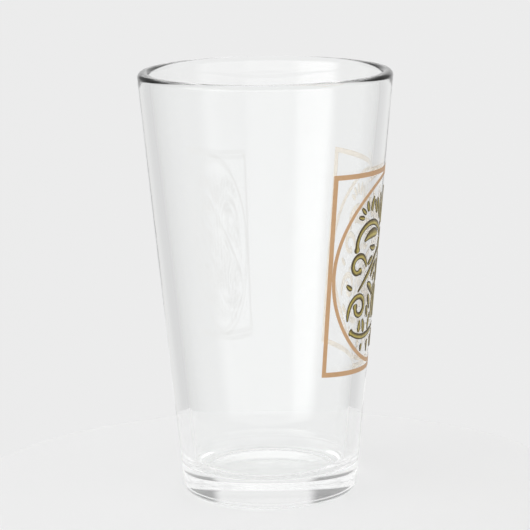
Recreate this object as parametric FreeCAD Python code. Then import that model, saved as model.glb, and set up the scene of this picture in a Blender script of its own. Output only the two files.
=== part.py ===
import FreeCAD, Part
import math
import os
from FreeCAD import Base, Vector

# A straight-sided pint glass with a print fired onto its outside. Sizes are in millimetres.
# The glass stands on z = 0 with its axis on Z, and the middle of the print faces +X.

# Glass
height = 150.0
rim_diameter = 88.9             # over the outside, where the wall meets the rounded lip
base_diameter = 62.0            # over the outside, where the wall meets the rounded heel
rim_wall = 4.2                  # wall at the lip, measured level
base_wall = 5.2                 # wall at the inner floor, measured level
floor_thickness = 9.5           # table to inner floor
floor_corner_radius = 6.0
heel_radius = 3.8
foot_ring_width = 2.6           # flat ring that the glass stands on
push_up = 1.0                   # rise of the underside inside the foot ring
lip_roundness = 0.46            # radius of the lip's two corners, as a share of the wall

# Print: each colour is a thin film, laid over a white underbase
underbase_film = 0.06
ink_film = 0.06
print_centre_height = 81.15     # at the middle of the print
frame_side = 71.8               # square frame, over its outside
frame_bar = 1.75
frame_angle_top = 52.9          # from the middle of the print round to the frame's top corners, degrees
frame_angle_bottom = 55.1       # and to its bottom corners
frame_rise_top = 0.95           # how far the top corners stand above the middle of the top side
frame_rise_bottom = 1.9         # and the bottom corners above the middle of the bottom side
ring_bar = 1.45
ring_gap = 0.05                 # between the ring and the frame, where they come closest
outline_margin = 0.38           # how far the dark outline shows past the gold
underbase_inset = 0.04          # how far the underbase stays inside the ink that hides it
drawn_radius = 33.3             # inside radius of the ring that the scrollwork is drawn for, before scaling
outline_spacing = 1.5           # about how far apart the points along a stroke's sides are
fewest_steps = 7                # and the fewest steps along a side
ring_steps = 40                 # points round the ring
side_steps = 15                 # steps along a side of the frame
points_per_edge = 5             # points on a curved outline between one vertex and the next

# The outside wall is one straight line in section
lip_radius = lip_roundness * rim_wall
wall_rise = height - lip_radius - heel_radius
wall_lean = (rim_diameter - base_diameter) / 2 / wall_rise
slope = math.atan(wall_lean)


def outside_radius(z):
    return base_diameter / 2 + wall_lean * (z - heel_radius)


def inside_radius(z):
    share = (z - floor_thickness) / (height - lip_radius - floor_thickness)
    return outside_radius(z) - base_wall - (rim_wall - base_wall) * share


def rounded_section(corners):
    # Lines through the corners, each given as a point and the radius that rounds it off
    edges = []
    last = corners[0][0]
    for i in range(1, len(corners) - 1):
        corner, radius = corners[i]
        back = (corners[i - 1][0] - corner).normalize()
        ahead = (corners[i + 1][0] - corner).normalize()
        if radius == 0:
            edges.append(Part.LineSegment(last, corner).toShape())
            last = corner
            continue
        half = back.getAngle(ahead) / 2
        inward = (back + ahead).normalize()
        tangent = radius / math.tan(half)
        start = corner + back * tangent
        end = corner + ahead * tangent
        middle = corner + inward * (radius / math.sin(half) - radius)
        edges.append(Part.LineSegment(last, start).toShape())
        edges.append(Part.Arc(start, middle, end).toShape())
        last = end
    edges.append(Part.LineSegment(last, corners[-1][0]).toShape())
    return edges


def push_up_arc(ring_radius):
    # Shallow dome under the glass, level at the axis
    dome_radius = (ring_radius ** 2 + push_up ** 2) / (2 * push_up)
    half = math.asin(ring_radius / dome_radius) / 2
    centre_z = push_up - dome_radius
    middle = Vector(dome_radius * math.sin(half), 0, centre_z + dome_radius * math.cos(half))
    return Part.Arc(Vector(0, 0, push_up), middle, Vector(ring_radius, 0, 0)).toShape()


def make_glass():
    heel_corner = Vector(outside_radius(0), 0, 0)
    heel_tangent = heel_radius / math.tan((math.pi / 2 + slope) / 2)
    ring_inner = heel_corner.x - heel_tangent - foot_ring_width
    corners = [
        (Vector(ring_inner, 0, 0), 0),
        (heel_corner, heel_radius),
        (Vector(outside_radius(height), 0, height), lip_radius),
        (Vector(inside_radius(height), 0, height), lip_radius),
        (Vector(inside_radius(floor_thickness), 0, floor_thickness), floor_corner_radius),
        (Vector(0, 0, floor_thickness), 0),
    ]
    edges = [push_up_arc(ring_inner)] + rounded_section(corners)
    edges.append(Part.LineSegment(corners[-1][0], Vector(0, 0, push_up)).toShape())
    section = Part.Face(Part.Wire(edges))
    return section.revolve(Vector(0, 0, 0), Vector(0, 0, 1), 360)


# The artwork is drawn flat, x to the right and y up from the middle of the print,
# and wrapped round the wall.
facing_angle = math.pi / 2      # +X, because a cone's own angles start at -Y
unrolled_radius = outside_radius(print_centre_height)
frame_half = frame_side / 2
ring_outer = frame_half - frame_bar - ring_gap
scrollwork_scale = (ring_outer - ring_bar) / drawn_radius


def wrap(x, y):
    # The wall tapers, so level lines of the artwork rise towards its sides
    share = (y / frame_half + 1) / 2
    half_angle = frame_angle_bottom + (frame_angle_top - frame_angle_bottom) * share
    rise = frame_rise_bottom + (frame_rise_top - frame_rise_bottom) * share
    angle = facing_angle + math.radians(half_angle) * x / frame_half
    z = print_centre_height + y + rise * (x / frame_half) ** 2
    return Base.Vector2d(angle, z / math.cos(slope))


def printed_surface(level):
    # The outside of the wall, moved out by the films already laid on it
    out = level / math.cos(slope)
    top = Vector(0, 0, height)
    return Part.Cone(Vector(0, 0, 0), top, outside_radius(0) + out, outside_radius(height) + out)


def straight(start, end):
    line = Part.Geom2d.Line2dSegment(wrap(*start), wrap(*end))
    return [(line, line.FirstParameter, line.LastParameter)]


def smooth(points):
    # One curve through the points, in stretches of a few points each. It is laid through them on the
    # wall unrolled to millimetres, where they are evenly spaced, and its poles are then turned to angles.
    unrolled = Part.Geom2d.BSplineCurve2d()
    wrapped = [wrap(x, y) for x, y in points]
    unrolled.interpolate([Base.Vector2d(p.x * unrolled_radius, p.y) for p in wrapped])
    knots = unrolled.getKnots()
    poles = [Base.Vector2d(p.x / unrolled_radius, p.y) for p in unrolled.getPoles()]
    curve = Part.Geom2d.BSplineCurve2d()
    curve.buildFromPolesMultsKnots(poles, unrolled.getMultiplicities(), knots, False, unrolled.Degree)
    stops = knots[:-1:points_per_edge] + knots[-1:]
    return [(curve, stops[i], stops[i + 1]) for i in range(len(stops) - 1)]


def wrapped_face(outline, surface):
    edges = [curve.toShape(surface, first, last) for curve, first, last in outline]
    return Part.Face(surface, Part.Wire(edges))


def film(outline, level, thickness, hole=None):
    # A printed area, given by its outline and the outline of the hole in it
    surface = printed_surface(level)
    face = wrapped_face(outline, surface)
    if hole:
        face = face.cut(wrapped_face(hole, surface)).Faces[0]
    return face.makeOffsetShape(thickness, 1e-4, fill=True)


def square_outline(half):
    shares = [2 * i / side_steps - 1 for i in range(side_steps + 1)]
    bottom = smooth([(half * share, -half) for share in shares])
    right = smooth([(half, half * share) for share in shares])
    top = smooth([(-half * share, half) for share in shares])
    left = smooth([(-half, -half * share) for share in shares])
    return bottom + right + top + left


def circle_outline(radius):
    angles = [2 * math.pi * i / ring_steps for i in range(ring_steps + 1)]
    return smooth([(radius * math.cos(a), radius * math.sin(a)) for a in angles])


def frame_film(level, thickness, inset=0.0):
    return film(square_outline(frame_half - inset), level, thickness,
                hole=square_outline(frame_half - frame_bar + inset))


def ring_film(level, thickness, inset=0.0):
    return film(circle_outline(ring_outer - inset), level, thickness,
                hole=circle_outline(ring_outer - ring_bar + inset))


def centre_line(stroke):
    # Points, headings and distances along a stroke whose bend, in degrees a millimetre, changes evenly.
    # The points crowd towards the end, so that a round tip is drawn round.
    x, y = stroke["start"]
    heading = math.radians(stroke["heading"])
    bend_start, bend_end = (math.radians(bend) for bend in stroke["bend"])
    length = stroke["length"]
    bent_length = length - 2 * stroke.get("bulb", 0.0)
    steps = max(fewest_steps, round(length / outline_spacing))
    slices = 12
    line = [(x, y, heading, 0.0)]
    done = 0.0
    for i in range(1, steps + 1):
        target = length * math.sin(math.pi / 2 * i / steps)
        step = (target - done) / slices
        for _ in range(slices):
            share = (done + step / 2) / bent_length
            bend = bend_start + (bend_end - bend_start) * share if share < 1 else 0.0
            x += step * math.cos(heading + bend * step / 2)
            y += step * math.sin(heading + bend * step / 2)
            heading += bend * step
            done += step
        line.append((x, y, heading, target))
    return line


def half_width(stroke, distance):
    length = stroke["length"]
    width = stroke["width"]
    bulb = stroke.get("bulb", 0.0)
    if distance in (0.0, length):
        return 0.0
    if bulb == 0:
        return width * math.sin(math.pi * (distance / length) ** 0.8) ** 0.8
    past_centre = distance - (length - bulb)
    round_end = math.sqrt(max(0.0, bulb ** 2 - past_centre ** 2))
    if past_centre > 0:
        return round_end
    stem = width * (1 - math.exp(-9 * distance / length)) * (1 - 0.3 * distance / length)
    return max(stem, round_end)


def stroke_outline(stroke, margin, side):
    # Both sides of the stroke, from its start to its tip, pushed out by the margin all round
    left = []
    right = []
    line = centre_line(stroke)
    for x, y, heading, distance in line:
        across = half_width(stroke, distance) * scrollwork_scale + margin
        x *= scrollwork_scale
        y *= scrollwork_scale
        left.append((side * (x - across * math.sin(heading)), y + across * math.cos(heading)))
        right.append((side * (x + across * math.sin(heading)), y - across * math.cos(heading)))
    if margin == 0:
        return smooth(left) + smooth(right[::-1])
    return smooth(left) + straight(left[-1], right[-1]) + smooth(right[::-1]) + straight(right[0], left[0])


def leaf(x, y, heading, length, width, bend=(0, 0)):
    # Pointed at both ends
    return {"start": (x, y), "heading": heading, "length": length, "width": width, "bend": bend}


def scroll(x, y, heading, length, width, bend, bulb):
    # Starts as a point and ends in a round bulb
    return leaf(x, y, heading, length, width, bend) | {"bulb": bulb}


# Scrollwork of leaves and scrolls that never touch each other, the same on both sides of its middle
middle_strokes = [
    leaf(0, 15.4, 90, 13.6, 1.7),                           # crown leaf
    leaf(0, 6.2, 90, 7.6, 1.3),                             # upper stalk
    leaf(0, -5.6, 90, 10.2, 1.0),                           # middle stalk
    leaf(0, -18.6, 90, 11.4, 1.55),                         # vase
    leaf(0, -29.6, 90, 6.6, 0.9),                           # drop
]
paired_strokes = [
    leaf(2.9, 15.0, 80, 13.2, 1.05, (-0.6, -2.6)),          # fan of leaves at the crown
    leaf(6.2, 18.2, 67, 9.4, 0.85, (-0.8, -3)),
    leaf(10.25, 20.7, 67, 6.0, 0.7, (-1, -3)),
    scroll(2.8, 11.6, 47, 29.4, 0.92, (-1.5, -8.8), 1.15),  # arch
    leaf(7.6, 13.0, 20, 12.2, 1.5, (-3.6, -6.4)),           # broad leaf under the arch
    leaf(20.2, 20.0, 8, 3.6, 0.54, (2, 2)),                 # palm on the arch
    leaf(19.3, 21.4, 38, 3.8, 0.54),
    leaf(17.6, 22.2, 70, 4.0, 0.6),
    leaf(15.4, 22.0, 98, 5.4, 0.76, (2, 2)),
    leaf(5.2, 7.4, -42, 21.0, 0.68, (0.2, -0.2)),           # cross stalk
    scroll(16.2, 2.0, 74, 20.2, 0.86, (-6.4, -24), 1.05),   # middle scroll
    leaf(8.9, 8.3, -8, 5.6, 0.8, (5, 8)),                   # leaves on the cross stalk
    leaf(11.2, 5.2, -32, 4.8, 0.75),
    leaf(6.2, 2.9, -42, 7.4, 0.9),
    leaf(6.3, -1.4, -46, 3.6, 0.75),
    leaf(3.0, 5.0, 82, 5.8, 0.7),
    leaf(24.6, -5.2, 20, 3.6, 0.6, (6, 6)),
    leaf(14.4, -4.4, -166, 8.0, 1.1, (6, 6)),
    leaf(12.8, -8.4, -124, 6.2, 0.8, (3, 3)),
    leaf(13.1, -12.4, -104, 4.6, 0.65),
    scroll(25.9, -16.8, 84, 28.6, 0.86, (4.0, 23), 1.05),   # lower scroll
    scroll(1.7, -21.2, -12, 23.4, 0.86, (-0.6, 4.4), 0.95), # swag
    leaf(18.6, -21.4, 112, 4.4, 0.76, (-8, -8)),            # sprigs on the swag
    leaf(14.4, -22.0, 88, 5.4, 0.86, (-6, -6)),
    leaf(9.8, -21.6, 84, 6.0, 0.8, (5, 5)),
    leaf(15.4, -26.0, -86, 2.8, 0.6),                       # finials under it
    leaf(9.4, -25.4, -92, 4.4, 0.76),
    leaf(4.4, -24.6, -98, 4.6, 0.76),
    leaf(3.7, -18.6, 91, 22.0, 0.85, (-0.2, -0.4)),         # stems beside the stalk
    leaf(6.9, -18.0, 91, 12.6, 0.8, (0.4, -1.0)),
]


def scrollwork_film(level, thickness, margin=0.0):
    solids = [film(stroke_outline(stroke, margin, 1), level, thickness) for stroke in middle_strokes]
    for stroke in paired_strokes:
        for side in (-1, 1):
            solids.append(film(stroke_outline(stroke, margin, side), level, thickness))
    return Part.Compound(solids)


first_level = 0.0
second_level = underbase_film
third_level = underbase_film + ink_film
parts = {
    "glass_body": make_glass(),
    "frame_underbase": frame_film(first_level, underbase_film, underbase_inset),
    "frame_ink": frame_film(second_level, ink_film),
    "ring_underbase": ring_film(first_level, underbase_film, underbase_inset),
    "ring_ink": ring_film(second_level, ink_film),
    "scrollwork_underbase": scrollwork_film(first_level, underbase_film, outline_margin - underbase_inset),
    "scrollwork_outline": scrollwork_film(second_level, ink_film, outline_margin),
    "scrollwork_gold": scrollwork_film(third_level, ink_film),
}

os.makedirs("parts", exist_ok=True)
for name, shape in parts.items():
    shape.exportStep("parts/" + name + ".step")
    state = "valid" if shape.isValid() else "NOT VALID"
    print(name, len(shape.Solids), "solid(s)", state, round(shape.Volume, 2), "mm3")
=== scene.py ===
import math

import bpy
from mathutils import Matrix, Vector


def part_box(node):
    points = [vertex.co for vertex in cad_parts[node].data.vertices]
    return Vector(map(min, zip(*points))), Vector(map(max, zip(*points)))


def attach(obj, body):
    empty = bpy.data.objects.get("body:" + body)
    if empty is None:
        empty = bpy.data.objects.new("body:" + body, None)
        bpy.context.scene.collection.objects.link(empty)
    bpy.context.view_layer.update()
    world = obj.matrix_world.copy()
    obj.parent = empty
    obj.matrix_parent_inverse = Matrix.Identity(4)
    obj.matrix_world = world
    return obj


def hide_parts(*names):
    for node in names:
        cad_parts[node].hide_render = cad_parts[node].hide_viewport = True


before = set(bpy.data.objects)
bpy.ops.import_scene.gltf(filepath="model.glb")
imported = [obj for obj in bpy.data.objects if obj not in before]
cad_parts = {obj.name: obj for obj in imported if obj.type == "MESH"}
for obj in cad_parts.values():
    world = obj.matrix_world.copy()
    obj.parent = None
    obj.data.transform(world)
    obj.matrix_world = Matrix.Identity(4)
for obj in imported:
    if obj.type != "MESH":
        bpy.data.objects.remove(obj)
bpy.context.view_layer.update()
glassLow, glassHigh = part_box("glass_body")
print("frame loaded:", ", ".join(sorted(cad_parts)))

mm = 0.001
scene = bpy.context.scene


# shader helpers

class Wire:
    # an output socket that can stand in a sum
    def __init__(self, board, socket):
        self.board = board
        self.socket = socket

    def calc(self, operation, first, second=None):
        values = {0: first} if second is None else {0: first, 1: second}
        return self.board.node("Math", {"operation": operation}, values)

    def __add__(self, other):
        return self.calc("ADD", self, other)

    def __radd__(self, other):
        return self.calc("ADD", other, self)

    def __sub__(self, other):
        return self.calc("SUBTRACT", self, other)

    def __rsub__(self, other):
        return self.calc("SUBTRACT", other, self)

    def __mul__(self, other):
        return self.calc("MULTIPLY", self, other)

    def __rmul__(self, other):
        return self.calc("MULTIPLY", other, self)

    def __abs__(self):
        return self.calc("ABSOLUTE", self)


class Board:
    # a node tree that parts are added to, one call for each node
    def __init__(self, tree):
        self.tree = tree
        self.tree.nodes.clear()

    def node(self, kind, settings=None, sockets=None, output=0):
        made = self.tree.nodes.new("ShaderNode" + kind)
        for name, value in (settings or {}).items():
            if name == "stops":
                self.setStops(made.color_ramp, value)
            else:
                setattr(made, name, value)
        for key, value in (sockets or {}).items():
            if isinstance(value, Wire):
                self.tree.links.new(value.socket, made.inputs[key])
            else:
                made.inputs[key].default_value = value
        return Wire(self, made.outputs[output]) if made.outputs else None

    def setStops(self, ramp, stops):
        while len(ramp.elements) < len(stops):
            ramp.elements.new(1.0)
        for element, (place, colour) in zip(ramp.elements, stops):
            element.position = place
            element.color = colour

    def mixColours(self, share, first, second):
        return self.node("Mix", {"data_type": "RGBA"}, {"Factor": share, "A": first, "B": second}, 2)

    def noise(self, place, scale, detail=2.0, roughness=0.5):
        sockets = {"Vector": place, "Scale": scale, "Detail": detail, "Roughness": roughness}
        return self.node("TexNoise", None, sockets)

    def ease(self, value, low, high, start=0.0, end=1.0):
        # goes smoothly from start to end as the value goes from low to high
        sockets = {"Value": value, "From Min": low, "From Max": high, "To Min": start, "To Max": end}
        return self.node("MapRange", {"interpolation_type": "SMOOTHSTEP"}, sockets)


def newFinish(name):
    material = bpy.data.materials.new(name)
    material.use_nodes = True
    return material, Board(material.node_tree)


def linear(red, green, blue):
    # colours are picked on a screen's scale from 0 to 255, and shaders want them linear
    def straighten(value):
        value /= 255
        return value / 12.92 if value <= 0.04045 else ((value + 0.055) / 1.055) ** 2.4
    return (straighten(red), straighten(green), straighten(blue), 1.0)


# mesh helpers

def addPiece(name, points, faces, node, material, smooth=True):
    mesh = bpy.data.meshes.new(name)
    mesh.from_pydata(points, [], faces)
    mesh.update()
    mesh.shade_smooth() if smooth else mesh.shade_flat()
    piece = bpy.data.objects.new(name, mesh)
    scene.collection.objects.link(piece)
    mesh.materials.append(material)
    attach(piece, "root")
    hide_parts(node)
    return piece


# the glass

glass = {
    "height": glassHigh.z,
    "rimRadius": 44.45 * mm,      # where the outside wall meets the lip
    "baseRadius": 31.0 * mm,      # where it meets the heel
    "rimWall": 4.2 * mm,
    "baseWall": 5.2 * mm,
    "floor": 9.5 * mm,            # table to inner floor
    "floorCorner": 6.0 * mm,
    "heel": 3.8 * mm,
    "footRing": 2.6 * mm,
    "pushUp": 1.0 * mm,
    "lipRound": 0.46,             # lip corner radius as a share of the wall
    "segments": 384,
    "knurls": 96,                 # fine ribs pressed into the foot ring
    "knurlDepth": 0.16 * mm,
    "ripple": 0.012 * mm,         # how far the pressed wall wanders from a true cone
}
glass["lip"] = glass["lipRound"] * glass["rimWall"]
wallLean = (glass["rimRadius"] - glass["baseRadius"]) / (glass["height"] - glass["lip"] - glass["heel"])
wallSlope = math.atan(wallLean)


def outsideRadius(z):
    return glass["baseRadius"] + wallLean * (z - glass["heel"])


def insideRadius(z):
    share = (z - glass["floor"]) / (glass["height"] - glass["lip"] - glass["floor"])
    return outsideRadius(z) - glass["baseWall"] - (glass["rimWall"] - glass["baseWall"]) * share


def straightRun(start, end, steps):
    return [start.lerp(end, i / steps) for i in range(1, steps + 1)]


def roundedCorner(before, corner, after, radius, steps):
    # the arc that replaces a corner of the section
    back = (before - corner).normalized()
    ahead = (after - corner).normalized()
    half = back.angle(ahead) / 2
    centre = corner + (back + ahead).normalized() * radius / math.sin(half)
    start = corner + back * radius / math.tan(half)
    turn = math.pi - 2 * half
    arm = start - centre
    side = 1 if arm.y * back.x - arm.x * back.y > 0 else -1
    spins = [Matrix.Rotation(side * turn * i / steps, 2) for i in range(steps + 1)]
    return [centre + spin @ arm for spin in spins]


def glassSection():
    # radius and height of each ring of the glass, from the middle of the underside round to the inner floor
    heelCorner = Vector((outsideRadius(0), 0))
    heelTangent = glass["heel"] / math.tan((math.pi / 2 + wallSlope) / 2)
    ringInner = Vector((heelCorner.x - heelTangent - glass["footRing"], 0))
    rimOuter = Vector((outsideRadius(glass["height"]), glass["height"]))
    rimInner = Vector((insideRadius(glass["height"]), glass["height"]))
    floorCorner = Vector((insideRadius(glass["floor"]), glass["floor"]))
    floorMiddle = Vector((0, glass["floor"]))
    domeRadius = (ringInner.x ** 2 + glass["pushUp"] ** 2) / (2 * glass["pushUp"])
    domeHalf = math.asin(ringInner.x / domeRadius)
    section = []
    for i in range(25):
        angle = domeHalf * i / 24
        section.append(Vector((domeRadius * math.sin(angle),
                               glass["pushUp"] - domeRadius * (1 - math.cos(angle)))))
    heel = roundedCorner(ringInner, heelCorner, rimOuter, glass["heel"], 16)
    lipOuter = roundedCorner(heelCorner, rimOuter, rimInner, glass["lip"], 16)
    lipInner = roundedCorner(rimOuter, rimInner, floorCorner, glass["lip"], 16)
    floor = roundedCorner(rimInner, floorCorner, floorMiddle, glass["floorCorner"], 20)
    section += straightRun(section[-1], heel[0], 6) + heel[1:]
    section += straightRun(heel[-1], lipOuter[0], 36) + lipOuter[1:]
    section += lipInner + straightRun(lipInner[-1], floor[0], 36) + floor[1:]
    section += straightRun(floor[-1], floorMiddle, 12)
    return section, ringInner.x, heel[0].x


def wander(angle, z):
    # slow waves that a mould leaves in the wall
    up = z / glass["height"]
    wave = math.sin(5 * angle + 4 * up) + 0.7 * math.sin(9 * angle - 7 * up + 1.3)
    return glass["ripple"] * (wave + 0.5 * math.sin(17 * angle + 11 * up + 0.4)) / 2


def makeGlass(material):
    section, ringInner, ringOuter = glassSection()
    count = glass["segments"]
    points = []
    rings = []
    ringMiddle = (ringInner + ringOuter) / 2
    ringHalf = (ringOuter - ringInner) / 2
    for place in section:
        if place.x < 1e-7:
            rings.append([len(points)] * count)
            points.append((0, 0, place.y))
            continue
        rings.append(range(len(points), len(points) + count))
        inside = place.x < insideRadius(place.y) + 1 * mm and place.y > glass["floor"]
        onRing = max(0.0, 1 - (abs(place.x - ringMiddle) / ringHalf) ** 2) if place.y < 0.01 * mm else 0.0
        for k in range(count):
            angle = 2 * math.pi * k / count
            radius = place.x + (wander(angle, place.y) if inside else 0.0)
            lift = onRing * glass["knurlDepth"] * (0.5 - 0.5 * math.cos(glass["knurls"] * angle))
            points.append((radius * math.cos(angle), radius * math.sin(angle), place.y + lift))
    faces = []
    for lower, upper in zip(rings, rings[1:]):
        for k in range(count):
            after = (k + 1) % count
            corners = [lower[k], lower[after], upper[after], upper[k]]
            faces.append(list(dict.fromkeys(corners)))
    return addPiece("pintGlass", points, faces, "glass_body", material)


glassFinish = {
    "tint": (0.995, 1.0, 0.998, 1.0),
    "index": 1.5,                 # of refraction
    "polish": 0.004,              # roughness where it is clean
    "smear": 0.01,                # roughness that a fingermark adds
    "smearScale": 38.0,           # noises a metre
    "scuff": 0.16,                # roughness that wear on the table adds
    "scuffScale": 900.0,
    "scuffTop": 4 * mm,
    "peel": 0.03,                 # strength of the faint waves in the surface
    "peelScale": 70.0,
    "peelDepth": 0.3 * mm,
}


def clearGlass():
    material, board = newFinish("clearGlass")
    place = board.node("TexCoord", None, None, 3)
    height = board.node("SeparateXYZ", None, {"Vector": place}, 2)
    scuff = board.ease(board.noise(place, glassFinish["scuffScale"], 3.0), 0.45, 0.7)
    nearTable = board.ease(height, 0.0, glassFinish["scuffTop"], 1.0, 0.0)
    smear = board.ease(board.noise(place, glassFinish["smearScale"], 3.0), 0.55, 0.8)
    worn = glassFinish["scuff"] * nearTable * scuff
    roughness = glassFinish["polish"] + glassFinish["smear"] * smear + worn
    peel = board.noise(place, glassFinish["peelScale"])
    bump = board.node("Bump", None, {
        "Strength": glassFinish["peel"], "Distance": glassFinish["peelDepth"], "Height": peel})
    shader = board.node("BsdfPrincipled", None, {
        "Base Color": glassFinish["tint"], "Roughness": roughness, "IOR": glassFinish["index"],
        "Transmission Weight": 1.0, "Normal": bump})
    board.node("OutputMaterial", None, {"Surface": shader})
    return material


# the print

artwork = {
    "centre": 81.15,              # height of its middle; all of the artwork is in millimetres
    "side": 71.8,                 # square frame, over its outside
    "bar": 1.75,
    "angleTop": 52.9,             # from the middle of the print round to the frame's corners
    "angleBottom": 55.1,
    "riseTop": 0.95,              # how far the corners stand above the middle of a side
    "riseBottom": 1.9,
    "ringBar": 1.45,
    "ringGap": 0.05,
    "outline": 0.38,              # how far the dark outline shows past the gold
    "inset": 0.04,                # how far the underbase hides inside the ink
    "film": 0.06,
    "airGap": 0.01,               # between the glass and the first film
    "drawnRadius": 33.3,          # the scrollwork is drawn for a ring of this inside radius
    "crown": 0.05,                # extra height of the gold along the middle of a stroke
    "cell": 0.7,                  # longest step along a printed edge
}
frameHalf = artwork["side"] / 2
ringOuter = frameHalf - artwork["bar"] - artwork["ringGap"]
scrollScale = (ringOuter - artwork["ringBar"]) / artwork["drawnRadius"]


def wrap(x, y, level):
    # from flat artwork to a point on the wall, level millimetres out from the glass
    share = (y / frameHalf + 1) / 2
    halfAngle = artwork["angleBottom"] + (artwork["angleTop"] - artwork["angleBottom"]) * share
    rise = artwork["riseBottom"] + (artwork["riseTop"] - artwork["riseBottom"]) * share
    angle = math.radians(halfAngle) * x / frameHalf
    z = (artwork["centre"] + y + rise * (x / frameHalf) ** 2) * mm
    radius = outsideRadius(z) + level * mm / math.cos(wallSlope)
    return (radius * math.cos(angle), radius * math.sin(angle), z)


class Print:
    # gathers printed ribbons into one closed mesh, with how far along and across each point is
    def __init__(self):
        self.points = []
        self.faces = []
        self.across = []
        self.along = []

    def ribbon(self, left, right, low, high, columns=4, crown=0.0, closed=False):
        rows = len(left)
        base = len(self.points)
        for level, swell in ((high, crown), (low, 0.0)):
            for i in range(rows):
                for j in range(columns + 1):
                    share = j / columns
                    x = left[i][0] + (right[i][0] - left[i][0]) * share
                    y = left[i][1] + (right[i][1] - left[i][1]) * share
                    rise = swell * math.sqrt(max(0.0, 1 - (2 * share - 1) ** 2))
                    self.points.append(wrap(x, y, level + rise))
                    self.across.append(2 * share - 1)
                    self.along.append(i / (rows - 1))
        wide = columns + 1
        under = rows * wide

        def at(i, j, side=0):
            return base + side * under + (i % rows) * wide + j

        for i in range(rows if closed else rows - 1):
            for j in range(columns):
                self.faces.append((at(i, j), at(i, j + 1), at(i + 1, j + 1), at(i + 1, j)))
                self.faces.append((at(i, j, 1), at(i + 1, j, 1), at(i + 1, j + 1, 1), at(i, j + 1, 1)))
            for j, flip in ((0, 1), (columns, 0)):
                edge = (at(i, j), at(i, j, 1), at(i + 1, j, 1), at(i + 1, j))
                self.faces.append(edge[::-1] if flip else edge)
        if not closed:
            for i, flip in ((0, 0), (rows - 1, 1)):
                for j in range(columns):
                    end = (at(i, j), at(i, j, 1), at(i, j + 1, 1), at(i, j + 1))
                    self.faces.append(end[::-1] if flip else end)

    def finish(self, name, node, material):
        piece = addPiece(name, self.points, self.faces, node, material)
        mesh = piece.data
        for label, values in (("across", self.across), ("along", self.along)):
            mesh.attributes.new(label, "FLOAT", "POINT").data.foreach_set("value", values)
        mesh.set_sharp_from_angle(angle=math.radians(40))
        return piece


def squareLoop(half):
    corners = [(-half, -half), (half, -half), (half, half), (-half, half)]
    steps = round(artwork["side"] / artwork["cell"])
    loop = []
    for (x0, y0), (x1, y1) in zip(corners, corners[1:] + corners[:1]):
        loop += [(x0 + (x1 - x0) * i / steps, y0 + (y1 - y0) * i / steps) for i in range(steps)]
    return loop


def circleLoop(radius):
    steps = round(2 * math.pi * frameHalf / artwork["cell"])
    angles = [2 * math.pi * i / steps for i in range(steps)]
    return [(radius * math.cos(a), radius * math.sin(a)) for a in angles]


def leaf(x, y, heading, length, width, bend=(0, 0)):
    # pointed at both ends
    return {"start": (x, y), "heading": heading, "length": length, "width": width, "bend": bend}


def scroll(x, y, heading, length, width, bend, bulb):
    # starts as a point and ends in a round bulb
    return leaf(x, y, heading, length, width, bend) | {"bulb": bulb}


middleStrokes = [
    leaf(0, 15.4, 90, 13.6, 1.7),                           # crown leaf
    leaf(0, 6.2, 90, 7.6, 1.3),                             # upper stalk
    leaf(0, -5.6, 90, 10.2, 1.0),                           # middle stalk
    leaf(0, -18.6, 90, 11.4, 1.55),                         # vase
    leaf(0, -29.6, 90, 6.6, 0.9),                           # drop
]
pairedStrokes = [
    leaf(2.9, 15.0, 80, 13.2, 1.05, (-0.6, -2.6)),          # fan of leaves at the crown
    leaf(6.2, 18.2, 67, 9.4, 0.85, (-0.8, -3)),
    leaf(10.25, 20.7, 67, 6.0, 0.7, (-1, -3)),
    scroll(2.8, 11.6, 47, 29.4, 0.92, (-1.5, -8.8), 1.15),  # arch
    leaf(7.6, 13.0, 20, 12.2, 1.5, (-3.6, -6.4)),           # broad leaf under the arch
    leaf(20.2, 20.0, 8, 3.6, 0.54, (2, 2)),                 # palm on the arch
    leaf(19.3, 21.4, 38, 3.8, 0.54),
    leaf(17.6, 22.2, 70, 4.0, 0.6),
    leaf(15.4, 22.0, 98, 5.4, 0.76, (2, 2)),
    leaf(5.2, 7.4, -42, 21.0, 0.68, (0.2, -0.2)),           # cross stalk
    scroll(16.2, 2.0, 74, 20.2, 0.86, (-6.4, -24), 1.05),   # middle scroll
    leaf(8.9, 8.3, -8, 5.6, 0.8, (5, 8)),                   # leaves on the cross stalk
    leaf(11.2, 5.2, -32, 4.8, 0.75),
    leaf(6.2, 2.9, -42, 7.4, 0.9),
    leaf(6.3, -1.4, -46, 3.6, 0.75),
    leaf(3.0, 5.0, 82, 5.8, 0.7),
    leaf(24.6, -5.2, 20, 3.6, 0.6, (6, 6)),
    leaf(14.4, -4.4, -166, 8.0, 1.1, (6, 6)),
    leaf(12.8, -8.4, -124, 6.2, 0.8, (3, 3)),
    leaf(13.1, -12.4, -104, 4.6, 0.65),
    scroll(25.9, -16.8, 84, 28.6, 0.86, (4.0, 23), 1.05),   # lower scroll
    scroll(1.7, -21.2, -12, 23.4, 0.86, (-0.6, 4.4), 0.95), # swag
    leaf(18.6, -21.4, 112, 4.4, 0.76, (-8, -8)),            # sprigs on the swag
    leaf(14.4, -22.0, 88, 5.4, 0.86, (-6, -6)),
    leaf(9.8, -21.6, 84, 6.0, 0.8, (5, 5)),
    leaf(15.4, -26.0, -86, 2.8, 0.6),                       # finials under it
    leaf(9.4, -25.4, -92, 4.4, 0.76),
    leaf(4.4, -24.6, -98, 4.6, 0.76),
    leaf(3.7, -18.6, 91, 22.0, 0.85, (-0.2, -0.4)),         # stems beside the stalk
    leaf(6.9, -18.0, 91, 12.6, 0.8, (0.4, -1.0)),
]


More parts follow.
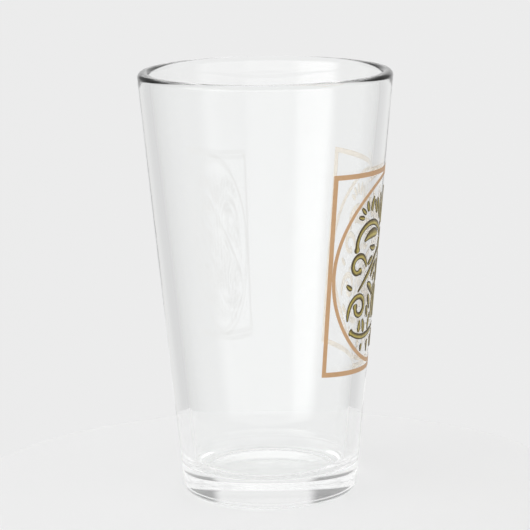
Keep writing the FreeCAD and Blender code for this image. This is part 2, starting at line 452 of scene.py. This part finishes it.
def centreLine(stroke, steps):
    # points, headings and distances along a stroke whose bend, in degrees a millimetre, changes evenly
    x, y = stroke["start"]
    heading = math.radians(stroke["heading"])
    bendStart, bendEnd = (math.radians(bend) for bend in stroke["bend"])
    length = stroke["length"]
    bentLength = length - 2 * stroke.get("bulb", 0.0)
    slices = 8
    line = [(x, y, heading, 0.0)]
    done = 0.0
    for i in range(1, steps + 1):
        target = length * math.sin(math.pi / 2 * i / steps)
        step = (target - done) / slices
        for _ in range(slices):
            share = (done + step / 2) / bentLength
            bend = bendStart + (bendEnd - bendStart) * share if share < 1 else 0.0
            x += step * math.cos(heading + bend * step / 2)
            y += step * math.sin(heading + bend * step / 2)
            heading += bend * step
            done += step
        line.append((x, y, heading, target))
    return line


def halfWidth(stroke, distance):
    length = stroke["length"]
    width = stroke["width"]
    bulb = stroke.get("bulb", 0.0)
    if distance in (0.0, length):
        return 0.0
    if bulb == 0:
        return width * math.sin(math.pi * (distance / length) ** 0.8) ** 0.8
    pastCentre = distance - (length - bulb)
    roundEnd = math.sqrt(max(0.0, bulb ** 2 - pastCentre ** 2))
    if pastCentre > 0:
        return roundEnd
    stem = width * (1 - math.exp(-9 * distance / length)) * (1 - 0.3 * distance / length)
    return max(stem, roundEnd)


def strokeSides(stroke, margin, side):
    left = []
    right = []
    steps = max(16, round(stroke["length"] / artwork["cell"] * 1.4))
    for x, y, heading, distance in centreLine(stroke, steps):
        across = max(0.01, halfWidth(stroke, distance) * scrollScale) + margin
        x *= scrollScale
        y *= scrollScale
        left.append((side * (x - across * math.sin(heading)), y + across * math.cos(heading)))
        right.append((side * (x + across * math.sin(heading)), y - across * math.cos(heading)))
    return (left, right) if side > 0 else (right, left)


def printFrame(name, node, material, low, high, inset):
    sheet = Print()
    inner = squareLoop(frameHalf - artwork["bar"] + inset)
    sheet.ribbon(inner, squareLoop(frameHalf - inset), low, high, closed=True)
    return sheet.finish(name, node, material)


def printRing(name, node, material, low, high, inset):
    sheet = Print()
    inner = circleLoop(ringOuter - artwork["ringBar"] + inset)
    sheet.ribbon(inner, circleLoop(ringOuter - inset), low, high, closed=True)
    return sheet.finish(name, node, material)


def printScrollwork(name, node, material, low, high, margin, crown=0.0):
    sheet = Print()
    for stroke in middleStrokes:
        sheet.ribbon(*strokeSides(stroke, margin, 1), low, high, 8, crown)
    for stroke in pairedStrokes:
        for side in (-1, 1):
            sheet.ribbon(*strokeSides(stroke, margin, side), low, high, 8, crown)
    return sheet.finish(name, node, material)


inks = {
    "whiteInk": {"thin": linear(220, 212, 201), "thick": linear(210, 201, 188),
                 "roughness": 0.5, "grain": 0.2},
    "copperInk": {"thin": linear(190, 153, 115), "thick": linear(174, 135, 96),
                  "roughness": 0.38, "grain": 0.25},
    "darkInk": {"thin": linear(64, 50, 20), "thick": linear(40, 30, 10),
                "roughness": 0.36, "grain": 0.4},
}
inkIndex = 1.45                   # of refraction
inkRelief = 0.03 * mm             # depth of the grain in the bump


def firedInk(name):
    # a screened ink: fine grain in its colour and gloss, and slow changes in how thick it lies
    ink = inks[name]
    material, board = newFinish(name)
    place = board.node("TexCoord", None, None, 3)
    fine = board.ease(board.noise(place, 900.0, 3.0), 0.35, 0.65)
    slow = board.ease(board.noise(place, 90.0), 0.3, 0.7)
    tone = board.mixColours(fine * ink["grain"] + slow * ink["grain"], ink["thin"], ink["thick"])
    bump = board.node("Bump", None, {"Strength": 0.25, "Distance": inkRelief, "Height": fine})
    shader = board.node("BsdfPrincipled", None, {
        "Base Color": tone, "Roughness": ink["roughness"] + fine * 0.12, "IOR": inkIndex, "Normal": bump})
    board.node("OutputMaterial", None, {"Surface": shader})
    return material


gold = {
    "lit": linear(152, 136, 62),
    "shaded": linear(84, 70, 26),
    "shine": linear(204, 190, 106),
    "edge": linear(70, 58, 24),
    "shineAt": -0.35,             # across a stroke, from -1 to 1
    "roughness": 0.32,
}


def goldInk():
    # printed to look raised: light on one flank of each stroke, dark on the other
    material, board = newFinish("goldInk")
    place = board.node("TexCoord", None, None, 3)
    across = board.node("Attribute", {"attribute_name": "across"}, None, 2)
    fine = board.ease(board.noise(place, 1300.0, 3.0), 0.3, 0.7)
    flank = across + (fine - 0.5) * 0.5
    body = board.mixColours(board.ease(flank, -0.2, 0.9), gold["lit"], gold["shaded"])
    shine = board.ease(abs(flank - gold["shineAt"]), 0.0, 0.3, 1.0, 0.0)
    tone = board.mixColours(shine * 0.75, body, gold["shine"])
    edge = board.ease(abs(across), 0.7, 1.0)
    tone = board.mixColours(edge * 0.6, tone, gold["edge"])
    bump = board.node("Bump", None, {"Strength": 0.3, "Distance": inkRelief, "Height": fine})
    shader = board.node("BsdfPrincipled", None, {
        "Base Color": tone, "Roughness": gold["roughness"] + fine * 0.1, "IOR": inkIndex, "Normal": bump})
    board.node("OutputMaterial", None, {"Surface": shader})
    return material


def makePrint():
    film = artwork["film"]
    gap = artwork["airGap"]
    inset = artwork["inset"]
    margin = artwork["outline"]
    white = firedInk("whiteInk")
    copper = firedInk("copperInk")
    dark = firedInk("darkInk")
    printFrame("frameUnderbase", "frame_underbase", white, gap, film, inset)
    printFrame("frameInk", "frame_ink", copper, film, 2 * film, 0.0)
    printRing("ringUnderbase", "ring_underbase", white, gap, film, inset)
    printRing("ringInk", "ring_ink", copper, film, 2 * film, 0.0)
    printScrollwork("scrollUnderbase", "scrollwork_underbase", white,
                    gap, film, margin - inset)
    printScrollwork("scrollOutline", "scrollwork_outline", dark,
                    film, 2 * film, margin)
    printScrollwork("scrollGold", "scrollwork_gold", goldInk(),
                    2 * film, 3 * film, 0.0, artwork["crown"])


makeGlass(clearGlass())
print("glass made:", glass["segments"], "segments round")
makePrint()
print("print made:", len(middleStrokes) + 2 * len(pairedStrokes), "strokes")


# camera, floor and light

viewpoint = {
    "distance": 0.9,              # level, from the glass's axis
    "round": 3.9,                 # degrees from -Y towards the print
    "aboveRim": 0.1077,
    "lens": 176.9,
    "down": 11.11,                # degrees
    "turn": 0.057,
    "roll": 0.73,
}
table = {
    "radius": 0.11,
    "colour": linear(235, 235, 235),
    "cloud": linear(232, 232, 232),
    "segments": 192,
    "gap": 0.03 * mm,             # below the foot ring
}
studio = {
    "sheets": 4,                  # tall white sheets, evenly round the table
    "sheet": 0.82,                # their brightness above the table
    "between": 0.34,              # brightness of the gaps above the table
    "sheetEdge": (-0.4, 0.15),    # where a sheet ends, on a wave that goes once round for each sheet
    "below": 0.84,                # brightness below the table, where the sheets sweep down
    "belowBetween": 0.69,
    "belowEdge": (-0.9, 0.95),
    "horizon": (-0.02, 0.06),     # heights on a ball of radius 1, like the ones that follow
    "before": 1.0,                # added on the near side
    "beforeEdge": (-0.5, -0.1),
    "lamp": 1.3,                  # brightness that a big soft lamp adds
    "lampPlace": (-0.75, -0.62, 0.22),
    "lampReach": (0.86, 0.97),    # cosines at which it ends and is full
    "lampBottom": (-0.13, -0.08),
    "overhead": 1.0,
    "overheadEdge": (0.35, 0.6),
    "bounces": 192,
    "mirrorBounces": 48,          # light that is thrown on more often is lost, which greys the lip
}


def makeCamera():
    camera = bpy.data.objects.new("camera", bpy.data.cameras.new("camera"))
    scene.collection.objects.link(camera)
    camera.data.lens = viewpoint["lens"]
    camera.data.sensor_width = 36
    camera.data.clip_start = 0.01
    turn = Matrix.Rotation(math.radians(viewpoint["turn"]), 4, "Z")
    tilt = Matrix.Rotation(math.radians(90 - viewpoint["down"]), 4, "X")
    roll = Matrix.Rotation(math.radians(-viewpoint["roll"]), 4, "Z")
    place = Matrix.Translation((0, -viewpoint["distance"], viewpoint["aboveRim"] + glass["height"]))
    swing = Matrix.Rotation(math.radians(viewpoint["round"]), 4, "Z")
    camera.matrix_world = swing @ place @ turn @ tilt @ roll
    scene.camera = camera


def makeFloor():
    material, board = newFinish("paleFloor")
    place = board.node("TexCoord", None, None, 3)
    cloud = board.noise(place, 2.5, 4.0)
    shade = board.mixColours(cloud, table["colour"], table["cloud"])
    shader = board.node("BsdfPrincipled", None, {"Base Color": shade, "Roughness": 0.7})
    board.node("OutputMaterial", None, {"Surface": shader})
    count = table["segments"]
    radius = table["radius"]
    angles = [2 * math.pi * i / count for i in range(count)]
    points = [(radius * math.cos(a), radius * math.sin(a), -table["gap"]) for a in angles]
    mesh = bpy.data.meshes.new("floor")
    mesh.from_pydata(points, [], [list(range(count))])
    mesh.materials.append(material)
    floor = bpy.data.objects.new("floor", mesh)
    scene.collection.objects.link(floor)


def makeLight():
    world = bpy.data.worlds.new("studio")
    world.use_nodes = True
    scene.world = world
    board = Board(world.node_tree)
    direction = board.node("TexCoord", None, None, 0)
    x, y, z = (board.node("SeparateXYZ", None, {"Vector": direction}, i) for i in range(3))
    wave = y.calc("COSINE", y.calc("ARCTAN2", y, x) * studio["sheets"])
    near = board.ease(y, *studio["beforeEdge"], 1.0, 0.0)
    above = board.ease(wave, *studio["sheetEdge"], studio["between"], studio["sheet"])
    below = board.ease(wave, *studio["belowEdge"], studio["belowBetween"], studio["below"])
    below = below + (studio["below"] - below) * near
    level = below + (above - below) * board.ease(z, *studio["horizon"])
    facing = board.node("VectorMath", {"operation": "DOT_PRODUCT"},
                        {0: direction, 1: Vector(studio["lampPlace"]).normalized()}, 1)
    added = studio["before"] * near + studio["lamp"] * board.ease(facing, *studio["lampReach"])
    level = level + added * board.ease(z, *studio["lampBottom"])
    level = level + (studio["overhead"] - level) * board.ease(z, *studio["overheadEdge"])
    light = board.node("Background", None, {"Color": (1, 1, 1, 1), "Strength": level})
    board.node("OutputWorld", None, {"Surface": light})
    scene.view_settings.view_transform = "Standard"
    scene.cycles.max_bounces = studio["bounces"]
    scene.cycles.transmission_bounces = studio["bounces"]
    scene.cycles.glossy_bounces = studio["mirrorBounces"]
    scene.cycles.diffuse_bounces = studio["bounces"]
    scene.cycles.blur_glossy = 0


makeCamera()
makeFloor()
makeLight()
print("camera, floor and light set")
